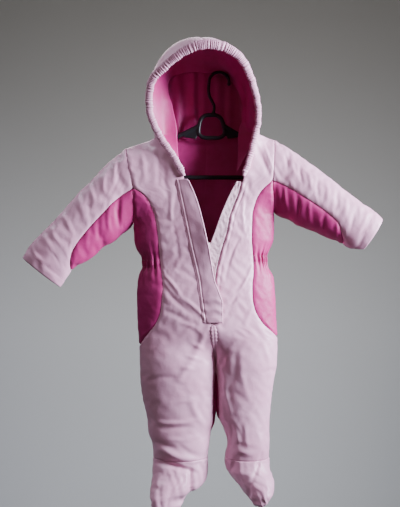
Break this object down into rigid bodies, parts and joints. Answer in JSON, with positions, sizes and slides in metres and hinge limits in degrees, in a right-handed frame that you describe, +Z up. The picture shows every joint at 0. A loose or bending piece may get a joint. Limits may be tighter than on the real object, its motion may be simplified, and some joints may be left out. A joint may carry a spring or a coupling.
{
  "type": "baby snowsuit on a hanger",
  "caption": "Padded hooded baby snowsuit with feet, side panels and a front zip under a flap, hung open on a plastic clothes hanger.",
  "frame": {"origin": "inside top of the hanger's hook, where it rests on what holds it", "axes": "+Z up, -Y towards the front of the suit, +X towards the wearer's left"},
  "size_m": [0.709, 0.1415, 0.9158],
  "materials": {
    "shell": "satin",
    "side_cloth": "satin",
    "lining": "matte",
    "zip_tape": "matte",
    "zip_slider": "satin",
    "hanger_plastic": "satin"
  },
  "bodies": {
    "root": {"front_right": "shell", "front_left": "shell", "back_right": "shell", "back_left": "shell", "back_lining_right": "lining", "back_lining_left": "lining", "side_panel_right": "side_cloth", "side_panel_left": "side_cloth", "inner_leg_right": "side_cloth", "inner_leg_left": "side_cloth", "sleeve_top_right": "shell", "sleeve_top_left": "shell", "sleeve_under_right": "side_cloth", "sleeve_under_left": "side_cloth", "foot_upper_right": "shell", "foot_upper_left": "shell", "foot_heel_right": "shell", "foot_heel_left": "shell", "foot_sole_right": "shell", "foot_sole_left": "shell", "hood_right": "shell", "hood_left": "shell", "hood_lining": "lining", "hood_casing": "shell", "placket_flap": "shell", "zip_band_left": "zip_tape", "zip_tape_right": "zip_tape", "zip_slider": "zip_slider", "hanger": "hanger_plastic"}
  },
  "joints": []
}
